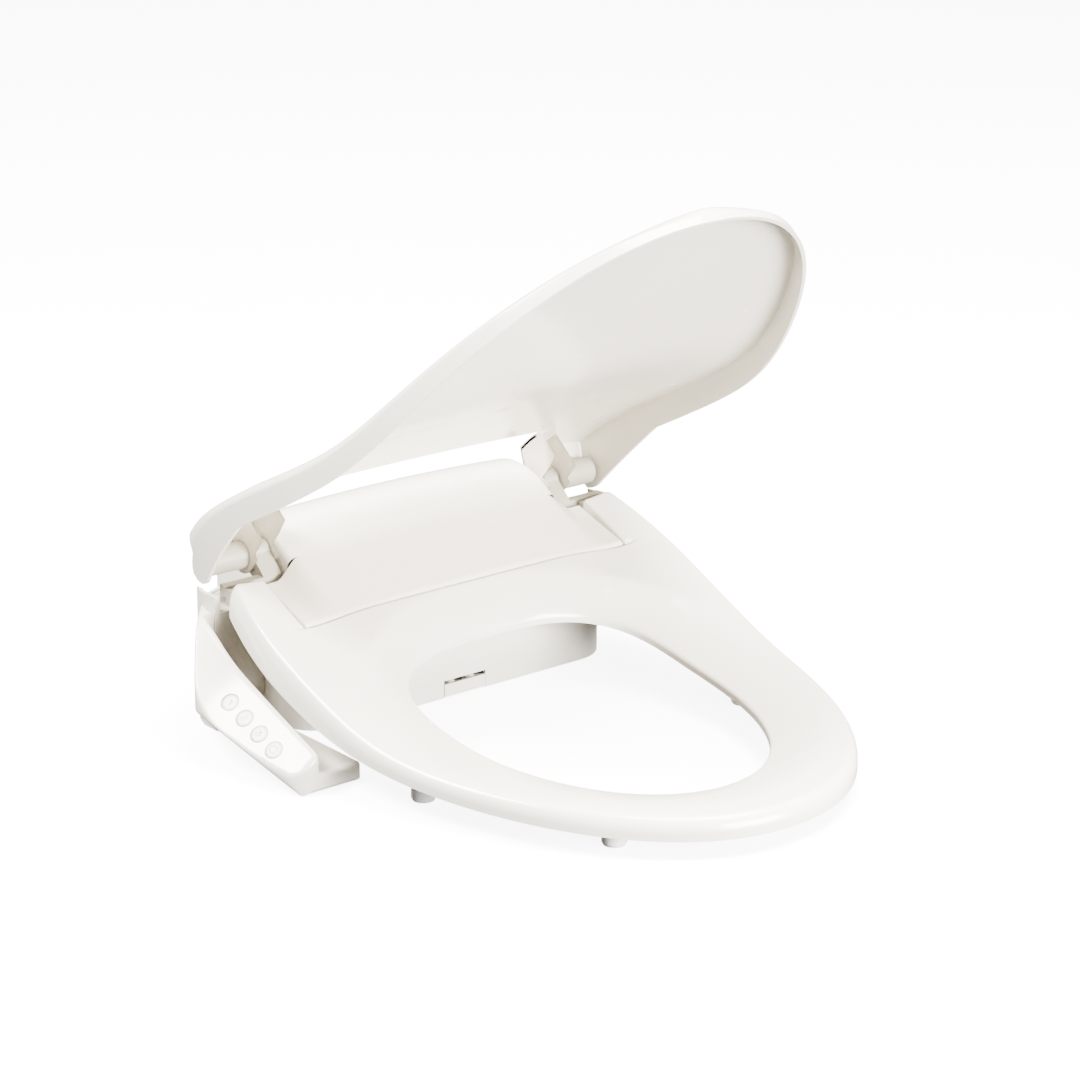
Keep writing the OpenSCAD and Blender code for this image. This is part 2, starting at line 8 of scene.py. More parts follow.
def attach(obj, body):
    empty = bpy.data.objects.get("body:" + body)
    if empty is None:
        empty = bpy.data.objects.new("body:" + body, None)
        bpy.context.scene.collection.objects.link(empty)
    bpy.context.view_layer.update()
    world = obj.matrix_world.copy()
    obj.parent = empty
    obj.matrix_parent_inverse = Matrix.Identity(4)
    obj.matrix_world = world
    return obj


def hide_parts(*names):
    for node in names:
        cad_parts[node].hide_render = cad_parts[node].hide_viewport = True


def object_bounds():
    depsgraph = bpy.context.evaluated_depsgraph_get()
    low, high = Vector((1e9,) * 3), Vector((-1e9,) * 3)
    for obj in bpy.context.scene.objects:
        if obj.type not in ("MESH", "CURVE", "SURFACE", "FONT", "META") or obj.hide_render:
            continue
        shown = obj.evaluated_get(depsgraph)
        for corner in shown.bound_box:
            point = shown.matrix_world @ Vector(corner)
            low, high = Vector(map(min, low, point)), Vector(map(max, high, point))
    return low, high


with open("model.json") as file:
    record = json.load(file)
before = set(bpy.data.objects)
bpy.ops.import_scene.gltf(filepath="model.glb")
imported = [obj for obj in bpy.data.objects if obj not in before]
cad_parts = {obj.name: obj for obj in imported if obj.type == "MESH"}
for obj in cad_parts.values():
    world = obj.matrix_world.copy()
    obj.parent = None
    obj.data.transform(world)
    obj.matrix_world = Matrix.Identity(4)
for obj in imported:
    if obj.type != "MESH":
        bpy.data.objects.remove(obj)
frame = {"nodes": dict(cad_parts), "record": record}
cad_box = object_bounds()

MM = 0.001

# ---------------------------------------------------------------- shape formulas, in millimetres
SEAT_HALF_W, SEAT_REACH, MID_Y = 195.0, 461.0, -130.0
OUTLINE_POWER = 2.12     # squareness of the seat and lid outlines
HOLE_HALF_W, HOLE_Y, HOLE_FRONT, HOLE_REAR = 115.0, -225.0, 168.0, 95.0
HOLE_FRONT_POWER, HOLE_REAR_POWER = 2.1, 3
NOTCH_Y, NOTCH_HALF_W, SEAT_BACK_Y = -104.0, 153.5, -52.0
WALL = 3.0
HINGE_Y, HINGE_Z = -20.0, 122.5
LID_OPEN = 52.0          # degrees from closed, at rest
LID_REACH = SEAT_REACH + 7
LID_LIP, LID_SIDE, LID_CAP = 4.0, 30.0, 151.0
CUT_Y, ARM_IN, EAR_IN, EAR_R, EAR_BACK = -66.0, 133.0, 128.9, 15.0, -5.5
RIM_GAP = 4.0            # rim of the closed lid above the seat's crest
RIM_BEND_Y = -100.0      # behind this the rim climbs to the hinge
FIRST_ROW = 0.25         # first row of a skin, in from the front tip
LID_SKIN = (10, 0.7)     # shoulder width and upright part of the wall, outside
LID_LINING = (6, 0.8)    # the same, inside


def soft(t):
    """A smooth bend: 0 well below t = 0, and t well above it."""
    return t if t > 30 else math.log(1 + math.exp(t))


def mix(a, b, t):
    """From a to b as t goes from 0 to 1, and held beyond."""
    return a + (b - a) * max(0.0, min(1.0, t))


def power(a, n):
    """a to the power n, or 0 where a is not positive."""
    return 0.0 if a <= 0 else a ** n


def oval(w, b, d, n):
    """Half width of a superellipse, half sizes w by b, at distance d from its middle."""
    return w * power(1 - power(abs(d) / b, n), 1 / n)


def crest_z(y):
    """Height of the seat's crest."""
    return 28.5 + 0.04 * (y + 455) + 10.25 * soft((y + 228) / 25)


def under_z(y):
    """Height of the seat's lower edge."""
    return 12.5 + 0.045 * (y + 455) + 16.8 * soft((y + 190) / 40)


def seat_w(y):
    """Half width of the seat's outline."""
    if y > MID_Y:
        return SEAT_HALF_W - 9 * ((y - MID_Y) / 70) ** 2
    return oval(SEAT_HALF_W, SEAT_REACH + MID_Y, y - MID_Y, OUTLINE_POWER)


def hole_w(y):
    """Half width of the opening."""
    if y > HOLE_Y:
        return oval(HOLE_HALF_W, HOLE_REAR, y - HOLE_Y, HOLE_REAR_POWER)
    return oval(HOLE_HALF_W, HOLE_FRONT, y - HOLE_Y, HOLE_FRONT_POWER)


def from_oval(x, dy, w, b, n, outside):
    """Distance along the ray from the oval's middle: outward if outside, else inward."""
    rho = power(power(abs(x) / w, n) + power(abs(dy) / b, n), 1 / n)
    length = math.hypot(x, dy)
    if outside:
        return 0.0 if rho <= 1 else length * (1 - 1 / rho)
    return 0.0 if rho >= 1 else 99.0 if rho < 0.01 else length * (1 / rho - 1)


def from_hole(x, y):
    if y > HOLE_Y:
        return from_oval(x, y - HOLE_Y, HOLE_HALF_W, HOLE_REAR, HOLE_REAR_POWER, True)
    return from_oval(x, y - HOLE_Y, HOLE_HALF_W, HOLE_FRONT, HOLE_FRONT_POWER, True)


def from_edge(x, y):
    if y > MID_Y:
        return max(0.0, seat_w(y) - abs(x))
    return from_oval(x, y - MID_Y, SEAT_HALF_W, SEAT_REACH + MID_Y, OUTLINE_POWER, False)


def quarter(d, r):
    """How far a rounded edge of radius r has fallen at distance d from the edge."""
    return 0.0 if d >= r else r - math.sqrt(max(0.0, r * r - (r - d) ** 2))


def roll_w(y):
    """Width of the slope from the crest down to the opening."""
    if y > HOLE_Y:
        return mix(58, 26, ((y - HOLE_Y) / HOLE_REAR) ** 2)
    return mix(58, 44, ((HOLE_Y - y) / HOLE_FRONT) ** 2)


def seat_z(x, y):
    """Height of the seat's upper skin."""
    low = under_z(y)
    d = from_hole(x, y)
    lip = low + 6
    flat = crest_z(y) - 4 * math.exp(-((abs(x) - 145) / 32) ** 2) * mix(0, 1, (y + 170) / 60)
    fall = (flat - lip) * power(1 - d / roll_w(y), 1.6)
    e = from_edge(x, y)
    swell = 1.0 if e >= 8 else 0.3 + 0.7 * math.sqrt(1 - (1 - e / 8) ** 2)
    z = low + (flat - fall - low) * swell
    z -= quarter(d, 2.5) * 0.8
    if abs(x) < NOTCH_HALF_W + 6 and y < NOTCH_Y + 0.01:
        z -= quarter(NOTCH_Y - y, 2.5)
    if y > NOTCH_Y:
        z -= quarter(abs(x) - NOTCH_HALF_W, 2.5)
    z -= quarter(SEAT_BACK_Y - y, 3.5)
    return z


def lid_w(y, inset=0.0):
    """Half width of the lid's outline."""
    if y > MID_Y:
        return SEAT_HALF_W + LID_LIP - inset - 10 * ((y - MID_Y) / 110) ** 2
    return oval(SEAT_HALF_W + LID_LIP - inset, LID_REACH + MID_Y - inset, y - MID_Y, OUTLINE_POWER)


def lid_from_edge(x, y):
    if y > MID_Y:
        return max(0.0, lid_w(y) - abs(x))
    return from_oval(x, y - MID_Y, SEAT_HALF_W + LID_LIP, LID_REACH + MID_Y, OUTLINE_POWER, False)


def rim_z(y):
    """Height of the closed lid's lower edge."""
    base = crest_z(RIM_BEND_Y) + RIM_GAP
    if y < RIM_BEND_Y:
        return crest_z(y) + RIM_GAP
    if y < HINGE_Y:
        return mix(base, HINGE_Z - EAR_R, 1 - (1 - (y - RIM_BEND_Y) / (HINGE_Y - RIM_BEND_Y)) ** 1.6)
    return HINGE_Z - math.sqrt(max(0.0, EAR_R ** 2 - (y - HINGE_Y) ** 2))


def ear_top(y):
    """Most height the closed lid may have round the hinge."""
    if y < HINGE_Y:
        return HINGE_Z + EAR_R + 1.5 * (HINGE_Y - y)
    return HINGE_Z + math.sqrt(max(1.0, EAR_R ** 2 - (y - HINGE_Y) ** 2))


def lid_z(x, y, shoulder, wall_part):
    """Height of the closed lid's skin."""
    e = lid_from_edge(x, y)
    low = rim_z(y)
    w = max(1.0, lid_w(y))
    height = mix(12, LID_SIDE, ((y + LID_REACH) / 330) ** 0.8 if y > -LID_REACH else 0)
    crown = 6 + 6 * mix(0, 1, (-90 - y) / 80) - 6 * mix(0, 1, (-300 - y) / 168)
    flat = LID_CAP - 8 * soft((LID_CAP - crest_z(y) - height) / 8)
    full = min(flat + crown * (1 - (abs(x) / w) ** 2), ear_top(y))
    t = 1.0 if e >= shoulder else wall_part + (1 - wall_part) * math.sqrt(1 - (1 - e / shoulder) ** 2)
    return low + (full - low) * t


# ---------------------------------------------------------------- mesh tools
def spread(a, b, n, start=False, end=False):
    """n + 1 values from a to b, crowded towards the ends that are asked for."""
    out = []
    for i in range(n + 1):
        t = i / n
        if start and end:
            t = (1 - math.cos(math.pi * t)) / 2
        elif start:
            t = 1 - math.cos(math.pi * t / 2)
        elif end:
            t = math.sin(math.pi * t / 2)
        out.append(a + (b - a) * t)
    return out


def new_object(name, bm, body, material, smooth_angle=40.0):
    bmesh.ops.remove_doubles(bm, verts=bm.verts, dist=2e-6)
    bmesh.ops.dissolve_degenerate(bm, dist=1e-7, edges=bm.edges)
    bmesh.ops.recalc_face_normals(bm, faces=bm.faces)
    mesh = bpy.data.meshes.new(name)
    bm.to_mesh(mesh)
    bm.free()
    obj = bpy.data.objects.new(name, mesh)
    bpy.context.scene.collection.objects.link(obj)
    mesh.materials.append(material)
    mesh.set_sharp_from_angle(angle=math.radians(smooth_angle))
    for p in mesh.polygons:
        p.use_smooth = True
    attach(obj, body)
    return obj


def bevel(obj, width, segments=2, angle=40.0):
    m = obj.modifiers.new("edge", "BEVEL")
    m.width = width * MM
    m.segments = segments
    m.limit_method = "ANGLE"
    m.angle_limit = math.radians(angle)
    m.harden_normals = False
    return m


def add_grid(bm, rows, place=lambda p: p, close=False):
    """Quads over rows of points in millimetres; rows may repeat a point."""
    grid = [[bm.verts.new(place(Vector(p) * MM)) for p in row] for row in rows]
    n = len(rows[0])
    for a, b in zip(grid, grid[1:]):
        for j in range(n if close else n - 1):
            k = (j + 1) % n
            try:
                bm.faces.new((a[j], a[k], b[k], b[j]))
            except ValueError:
                pass
    return grid


def mirrored(rows):
    return [[(-p[0], p[1], p[2]) for p in row] for row in rows]


def turned_with_lid(p):
    """From the closed lid to the lid as it rests."""
    c = Vector((0, HINGE_Y * MM, HINGE_Z * MM))
    return Matrix.Rotation(math.radians(-LID_OPEN), 3, "X") @ (p - c) + c


# ---------------------------------------------------------------- materials
def plastic(name, colour, rough=0.3, coat=0.15, grain=0.02, vary=0.02, scale=900.0):
    m = bpy.data.materials.new(name)
    m.use_nodes = True
    nt = m.node_tree
    b = nt.nodes["Principled BSDF"]
    coords = nt.nodes.new("ShaderNodeTexCoord")
    cloud = nt.nodes.new("ShaderNodeTexNoise")
    cloud.inputs["Scale"].default_value = 9.0
    cloud.inputs["Detail"].default_value = 3.0
    nt.links.new(coords.outputs["Object"], cloud.inputs["Vector"])
    ramp = nt.nodes.new("ShaderNodeValToRGB")
    lo = [max(0.0, c * (1 - vary)) for c in colour]
    hi = [min(1.0, c * (1 + vary * 0.5)) for c in colour]
    ramp.color_ramp.elements[0].position = 0.3
    ramp.color_ramp.elements[0].color = (*lo, 1)
    ramp.color_ramp.elements[1].position = 0.7
    ramp.color_ramp.elements[1].color = (*hi, 1)
    nt.links.new(cloud.outputs["Fac"], ramp.inputs["Fac"])
    nt.links.new(ramp.outputs["Color"], b.inputs["Base Color"])
    wear = nt.nodes.new("ShaderNodeTexNoise")
    wear.inputs["Scale"].default_value = 38.0
    wear.inputs["Detail"].default_value = 5.0
    nt.links.new(coords.outputs["Object"], wear.inputs["Vector"])
    span = nt.nodes.new("ShaderNodeMapRange")
    span.inputs["To Min"].default_value = max(0.02, rough - 0.05)
    span.inputs["To Max"].default_value = min(1.0, rough + 0.07)
    nt.links.new(wear.outputs["Fac"], span.inputs["Value"])
    nt.links.new(span.outputs["Result"], b.inputs["Roughness"])
    peel = nt.nodes.new("ShaderNodeTexNoise")
    peel.inputs["Scale"].default_value = scale
    peel.inputs["Detail"].default_value = 2.0
    nt.links.new(coords.outputs["Object"], peel.inputs["Vector"])
    bump = nt.nodes.new("ShaderNodeBump")
    bump.inputs["Strength"].default_value = grain
    bump.inputs["Distance"].default_value = 0.0006
    nt.links.new(peel.outputs["Fac"], bump.inputs["Height"])
    nt.links.new(bump.outputs["Normal"], b.inputs["Normal"])
    b.inputs["Coat Weight"].default_value = coat
    b.inputs["Coat Roughness"].default_value = 0.12
    b.inputs["Specular IOR Level"].default_value = 0.45
    return m


def metal(name, colour, rough=0.32):
    m = plastic(name, colour, rough=rough, coat=0.0, grain=0.06, vary=0.08, scale=300.0)
    nt = m.node_tree
    b = nt.nodes["Principled BSDF"]
    b.inputs["Metallic"].default_value = 1.0
    return m


SHELL = plastic("white_gloss_plastic", (0.66, 0.612, 0.52), rough=0.24, coat=0.3, grain=0.012)
SEAT = plastic("seat_gloss_plastic", (0.7, 0.65, 0.555), rough=0.22, coat=0.35, grain=0.01)
SATIN = plastic("white_satin_plastic", (0.58, 0.54, 0.46), rough=0.42, coat=0.05, grain=0.05)
INNER = plastic("inner_moulding", (0.3, 0.27, 0.21), rough=0.45, coat=0.0, grain=0.06)
FILM = plastic("panel_film_matte", (0.62, 0.578, 0.49), rough=0.5, coat=0.0, grain=0.08, scale=1600.0)
BUTTON = plastic("button_plastic", (0.64, 0.6, 0.51), rough=0.34, coat=0.1, grain=0.02)
RUBBER = plastic("bumper_rubber", (0.8, 0.78, 0.74), rough=0.75, coat=0.0, grain=0.3, vary=0.1)
DARK = plastic("dark_plastic", (0.035, 0.035, 0.038), rough=0.5, coat=0.0, grain=0.1, vary=0.15)
BOARD = plastic("board_lacquer", (0.03, 0.14, 0.06), rough=0.35, coat=0.3, grain=0.15, vary=0.2, scale=240.0)
HOSE = plastic("hose_silicone", (0.5, 0.55, 0.58), rough=0.4, coat=0.1, grain=0.05)
STEEL = metal("zinc_steel", (0.6, 0.61, 0.62))
COPPER = metal("copper_sheath", (0.62, 0.33, 0.2), rough=0.35)
HEAT = metal("heater_foil", (0.62, 0.42, 0.24), rough=0.4)
INK = plastic("icon_grey", (0.12, 0.125, 0.13), rough=0.5, coat=0.0, grain=0.05)
RED_INK = plastic("icon_red", (0.5, 0.03, 0.02), rough=0.45, coat=0.0, grain=0.05)

LOOK = {
    "shell": SHELL, "satin_white": SATIN, "inner": INNER, "film": FILM, "button": BUTTON,
    "stop_button": BUTTON, "rubber": RUBBER, "steel": STEEL, "board": BOARD, "dark": DARK,
    "heater_film": HEAT, "copper": COPPER, "hose": HOSE,
}
SLOT_OF = {s["node"]: s["material_slot"] for s in frame["record"]["subparts"]}
for node, obj in frame["nodes"].items():
    look = LOOK[SLOT_OF[node]]
    if obj.data.materials:
        for i in range(len(obj.data.materials)):
            obj.material_slots[i].material = look
    else:
        obj.data.materials.append(look)


# ---------------------------------------------------------------- seat ring
def seat_columns(xi, xs, xo):
    inner = spread(xi, xs, 26, start=True, end=True)
    outer = spread(xs, max(xs, xo - 9), 10, start=True)[1:]
    edge = spread(max(xs, xo - 9), xo, 10, end=True)[1:]
    return inner, outer + edge


def make_seat():
    bm = bmesh.new()
    front = -SEAT_REACH + FIRST_ROW
    tip = HOLE_Y - HOLE_FRONT
    back = HOLE_Y + HOLE_REAR
    rows_y = (spread(front, tip, 40, start=True) + spread(tip + 0.05, HOLE_Y, 50, start=True)
              + spread(HOLE_Y, back - 0.05, 40, end=True)[1:] + spread(back, NOTCH_Y, 18, end=True))
    for side in (1, -1):
        rows = []
        for y in rows_y:
            xo = seat_w(y)
            xi = hole_w(y) if tip < y < back else 0.0
            xs = min(NOTCH_HALF_W, xi + (xo - xi) * mix(0.45, 0.76, (y + 300) / 180))
            if y > -112:
                xs = mix(xs, NOTCH_HALF_W, (y + 112) / 8)
            a, b = seat_columns(xi, xs, xo)
            rows.append([(side * x, y, seat_z(x, y)) for x in a + b])
        add_grid(bm, rows)
        arms = []
        for y in spread(NOTCH_Y, SEAT_BACK_Y, 34, end=True):
            b = spread(NOTCH_HALF_W, NOTCH_HALF_W + 3, 6, start=True)
            c = seat_columns(0, NOTCH_HALF_W + 3, seat_w(y))[1]
            arms.append([(side * x, y, seat_z(x, y)) for x in b + c])
        add_grid(bm, arms)
    bmesh.ops.remove_doubles(bm, verts=bm.verts, dist=2e-5)
    drop_walls(bm, lambda v: under_z(v.y / MM) * MM, 3.0, 5.0)
    return new_object("seat_ring_skin", bm, "seat", SEAT, 38)


def drop_walls(bm, floor_at, lip, rise):
    """Walls from every open edge down to a floor height, then a lip inward and a short rise."""
    edges = [e for e in bm.edges if len(e.link_faces) == 1]
    out = {}
    for e in edges:
        f = e.link_faces[0]
        mid = (e.verts[0].co + e.verts[1].co) / 2
        along = e.verts[1].co - e.verts[0].co
        n = Vector((along.y, -along.x, 0))
        if n.length < 1e-9:
            continue
        n.normalize()
        if n.dot(f.calc_center_median() - mid) > 0:
            n = -n
        for v in e.verts:
            out[v] = out.get(v, Vector((0, 0, 0))) + n
    rings = {}
    for v, n in out.items():
        n = n.normalized() if n.length > 1e-6 else Vector((0, 0, 0))
        z = floor_at(v.co)
        low = bm.verts.new((v.co.x, v.co.y, z))
        inn = bm.verts.new((v.co.x - n.x * lip * MM, v.co.y - n.y * lip * MM, z))
        up = bm.verts.new((inn.co.x, inn.co.y, z + rise * MM))
        rings[v] = (low, inn, up)
    for e in edges:
        a, b = e.verts
        if a not in rings or b not in rings:
            continue
        ra, rb = (a, *rings[a]), (b, *rings[b])
        for k in range(3):
            bm.faces.new((ra[k], rb[k], rb[k + 1], ra[k + 1]))


seat = make_seat()
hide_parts("seat_top")


# ---------------------------------------------------------------- lid
PANEL_COLUMNS = 30


def lid_rows(inset, drop, shoulder, wall_part):
    """Rows across one half of the closed lid: its panel, and its arm behind the panel."""
    first = -LID_REACH + FIRST_ROW
    ys = spread(first, -330, 44, start=True) + spread(-330, CUT_Y, 70)[1:]
    arm_ys = spread(CUT_Y, EAR_BACK, 44, end=True)

    def row(y, arms):
        y_in = max(y, -LID_REACH + inset + FIRST_ROW)
        if arms:
            y_in = min(y_in, EAR_BACK - inset)
        low = rim_z(y_in)
        xo = max(0.6, lid_w(y_in, inset))
        xs = mix(ARM_IN, EAR_IN, (y - CUT_Y) / 12) if arms else min(ARM_IN, xo * 0.72)
        xe = max(xs, xo - shoulder)
        xcols = [] if arms else spread(0, xs, PANEL_COLUMNS)[:-1]
        xcols = xcols + spread(xs, xe, 12) + spread(xe, xo, 18, end=True)[1:]

        def top(x):
            return max(low + 0.2, lid_z(x, y_in, shoulder, wall_part) - drop)

        side = [(xo, y_in, low + (top(xo) - low) * t) for t in (0.5, 0.0)]
        return [(x, y_in, top(x)) for x in xcols] + side

    return [row(y, False) for y in ys], [row(y, True) for y in arm_ys]


def tip_wall(row):
    """Columns from the first row of the lid down to the rim."""
    low = row[-1][2]
    return [[(x, y, low + (z - low) * t) for x, y, z in row[:-2]] for t in (1.0, 0.5, 0.0)]


# x, front end, and lowest z ahead of PLATE_LOW_Y, of each face in the lid's arms
EAR_PLATES = ((128.9, -60, 118), (130.2, -60, 118), (149.0, -50, 112), (150.2, -50, 112))
PIN_HOLE_R, PLATE_LOW_Y, PLATE_STEP = 5.5, -33, 0.3


def ear_plate(bm, side, x, front, low):
    """One face of a plate in the lid's arm at x, round the pin, ending at front and above low."""
    rows = []
    for k in range(73):
        a = math.radians(5 * k)
        reach = PIN_HOLE_R
        while reach < 60:
            far = reach + PLATE_STEP
            y, z = HINGE_Y + far * math.cos(a), HINGE_Z + far * math.sin(a)
            floor_z = max(rim_z(y) + 0.2, low if y < PLATE_LOW_Y else 0)
            if y < front or y > EAR_BACK - 0.5 or z < floor_z or z > lid_z(x, y, *LID_SKIN) - 0.6:
                break
            reach = far
        rows.append([(side * x, HINGE_Y + q * math.cos(a), HINGE_Z + q * math.sin(a))
                     for q in (PIN_HOLE_R, reach)])
    add_grid(bm, rows, turned_with_lid)


def make_lid():
    bm = bmesh.new()
    outer = lid_rows(0, 0, *LID_SKIN)
    inner = lid_rows(WALL, WALL, *LID_LINING)
    for side in (1, -1):
        for o, i in zip(outer, inner):
            if side < 0:
                o, i = mirrored(o), mirrored(i)
            add_grid(bm, o, turned_with_lid)
            add_grid(bm, i, turned_with_lid)
            # rim, from the outer skin to the inner skin
            add_grid(bm, [[r[-1] for r in o], [r[-1] for r in i]], turned_with_lid)
        o_full, o_arm = (mirrored(g) if side < 0 else g for g in outer)
        i_full, i_arm = (mirrored(g) if side < 0 else g for g in inner)
        across = PANEL_COLUMNS + 1
        add_grid(bm, [o_full[-1][:across], i_full[-1][:across]], turned_with_lid)
        add_grid(bm, [[r[0] for r in o_arm], [r[0] for r in i_arm]], turned_with_lid)
        add_grid(bm, [o_arm[-1], i_arm[-1]], turned_with_lid)
        tip_o, tip_i = tip_wall(o_full[0]), tip_wall(i_full[0])
        add_grid(bm, tip_o, turned_with_lid)
        add_grid(bm, tip_i, turned_with_lid)
        add_grid(bm, [tip_o[-1], tip_i[-1]], turned_with_lid)
        for x, front, low in EAR_PLATES:
            ear_plate(bm, side, x, front, low)
    return new_object("lid_skin", bm, "lid", SHELL, 38)


lid = make_lid()
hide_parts("lid_shell")
bevel(lid, 0.7, 2, 50)

# ---------------------------------------------------------------- rear hood and tongue
HOOD_W, TONGUE_W, BACK_Y, TRAY_Z, DECK_Z = 127.5, 151.5, 50.0, 58.0, 92.0
CREASE_Y, CREASE_Z, TONGUE_Y, TONGUE_Z = -48.6, 121.0, -102.6, 91.0
PEAK_Y, PEAK_Z, PEAK_FRONT_R, PEAK_BACK_R = -2.0, 137.5, 71, 52
HOOD_FOOT_Z, TONGUE_FOOT_Z, SKIRT_Y = TRAY_Z + 0.2, TONGUE_Z - 3.2, -101.0


def hood_profile(inset):
    pts = [(CREASE_Y + inset * 0.4, CREASE_Z - inset * 1.1)]
    for a in range(-36, 1, 2):
        t = math.radians(a)
        pts.append((PEAK_Y + (PEAK_FRONT_R - inset) * math.sin(t),
                    PEAK_Z - PEAK_FRONT_R + (PEAK_FRONT_R - inset) * math.cos(t)))
    for a in range(3, 91, 3):
        t = math.radians(a)
        pts.append((PEAK_Y + (PEAK_BACK_R - inset) * math.sin(t),
                    PEAK_Z - PEAK_BACK_R + (PEAK_BACK_R - inset) * math.cos(t)))
    pts.append((BACK_Y - inset, HOOD_FOOT_Z))
    return pts


def smooth_step(a, b, t):
    t = max(0.0, min(1.0, (t - a) / (b - a)))
    return t * t * (3 - 2 * t)


def crown(x):
    return 4.0 * (1 - (x / HOOD_W) ** 2) if abs(x) < HOOD_W else 0.0


def wing_part(x):
    """0 over the middle of the tongue, 1 on its wings."""
    return smooth_step(119, 141, abs(x))


def tongue_z(x, y):
    wing = TONGUE_Z + 0.307 * (y - TONGUE_Y)
    mid = TONGUE_Z + (CREASE_Z - TONGUE_Z) / (CREASE_Y - TONGUE_Y) * (y - TONGUE_Y)
    t = 1 - wing_part(x)
    z = wing + (mid - wing) * t + crown(x)
    return z - quarter(y - TONGUE_Y, 2.2) - quarter(TONGUE_W - abs(x), 1.5)


def make_hood():
    bm = bmesh.new()
    r = 5.0
    near = spread(0, r, 7, start=True)
    xs = ([-HOOD_W + d for d in near] + spread(-HOOD_W + r, HOOD_W - r, 40)[1:-1]
          + [HOOD_W - d for d in reversed(near)])
    rows = []
    for x in xs:
        fall = quarter(HOOD_W - abs(x), r)
        rows.append([(x, y, z + crown(x) * smooth_step(TRAY_Z, 128, z)) for y, z in hood_profile(fall)])
    add_grid(bm, rows)
    for row in (rows[0], rows[-1]):
        add_grid(bm, [row, [(x, y, HOOD_FOOT_Z) for x, y, z in row]])
    cols = (spread(-TONGUE_W, -TONGUE_W + 2, 4, start=True) + spread(-TONGUE_W + 2, TONGUE_W - 2, 110)[1:-1]
            + spread(TONGUE_W - 2, TONGUE_W, 4, end=True))
    top = []
    for x in cols:
        end = CREASE_Y - 1.9 * wing_part(x)
        ys = spread(TONGUE_Y, TONGUE_Y + 2.4, 6, start=True) + spread(TONGUE_Y + 2.4, end, 24)[1:]
        top.append([(x, y, tongue_z(x, y)) for y in ys])
    add_grid(bm, top)
    add_grid(bm, [[c[0] for c in top], [(c[0][0], c[0][1], TONGUE_FOOT_Z) for c in top],
                  [(c[0][0], c[0][1] + WALL, TONGUE_FOOT_Z) for c in top]])
    for side in (top[0], top[-1]):
        add_grid(bm, [side, [(x, y, z - WALL) for x, y, z in side]])
    add_grid(bm, [[c[-1] for c in top], [(c[-1][0], c[-1][1], c[-1][2] - WALL) for c in top]])
    # skirt under the tongue
    skirt = [(-HOOD_W, CREASE_Y), (-HOOD_W, SKIRT_Y), (HOOD_W, SKIRT_Y), (HOOD_W, CREASE_Y)]
    add_grid(bm, [[(x, y, TRAY_Z) for x, y in skirt],
                  [(x, y, 104 if y == CREASE_Y else 88) for x, y in skirt]])
    # decks under the lid's ears
    half = 193.0 - 3.3
    plan = [(-half, -42.7), (half, -42.7), (half, -29), (half - 5, -17.6), (half - 20, -9.3), (146.7, 2.7),
            (-146.7, 2.7), (-half + 20, -9.3), (-half + 5, -17.6), (-half, -29)]
    low = [bm.verts.new(Vector((x, y, DECK_Z - 3)) * MM) for x, y in plan]
    high = [bm.verts.new(Vector((x, y, DECK_Z)) * MM) for x, y in plan]
    bm.faces.new(high)
    bm.faces.new(list(reversed(low)))
    for k in range(len(plan)):
        n = (k + 1) % len(plan)
        bm.faces.new((low[k], low[n], high[n], high[k]))
    return new_object("hood_skin", bm, "base", SHELL, 34)


hood = make_hood()
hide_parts("rear_cover")


# ---------------------------------------------------------------- control arm
PANEL_X, PANEL_Y, PANEL_Z = -220, -130.3, 36.9
PANEL = (Matrix.Translation(Vector((PANEL_X, PANEL_Y, PANEL_Z)) * MM)
         @ Matrix.Rotation(math.radians(20.3), 4, "X") @ Matrix.Rotation(math.radians(-39), 4, "Y"))
UNDER_X, UNDER_Y, UNDER_Z, UNDER_DX, UNDER_DY = -235, -84, 36, 0.899, 0.192
ARM_TIP_Y, ARM_TIP_R = -188, 4.0
# (y, x) along the arm's outer edge
ARM_EDGE = [(-188, -215), (-184, -220), (-178, -224), (-130, -232), (-84, -235), (-58, -219), (-40, -203),
            (-31, -194.6)]
LEDGE_X, LEDGE_Z, ARM_BACK_Y, ARM_INNER_X = -202.0, 14.0, -46.6, -165.0


def through(points, y):
    """A smooth curve through (y, x) points."""
    for k in range(len(points) - 1):
        (a, p), (b, q) = points[k], points[k + 1]
        if y <= b or k == len(points) - 2:
            def slope(i):
                i0, i1 = max(0, i - 1), min(len(points) - 1, i + 1)
                return (points[i1][1] - points[i0][1]) / (points[i1][0] - points[i0][0])
            t, h = (y - a) / (b - a), b - a
            return ((2 * t ** 3 - 3 * t ** 2 + 1) * p + (t ** 3 - 2 * t ** 2 + t) * h * slope(k)
                    + (3 * t ** 2 - 2 * t ** 3) * q + (t ** 3 - t ** 2) * h * slope(k + 1))


def arm_top(x, y):
    """Height of the control arm's top: the panel, and the rise behind it."""
    panel = PANEL_Z + 0.863 * (x - PANEL_X) + 0.370 * (y - PANEL_Y)
    rise = 62.7 + 0.612 * (x + 210) + 0.851 * (y + 84)
    blend = 4.0
    z = blend * math.log(math.exp(panel / blend) + math.exp(rise / blend))
    return 96 - 5 * soft((96 - z) / 5)


def arm_under(x, y):
    """Height of the slope under the control arm's outer edge."""
    return max(0.0, UNDER_Z - UNDER_DX * (x - UNDER_X) + UNDER_DY * (y - UNDER_Y))


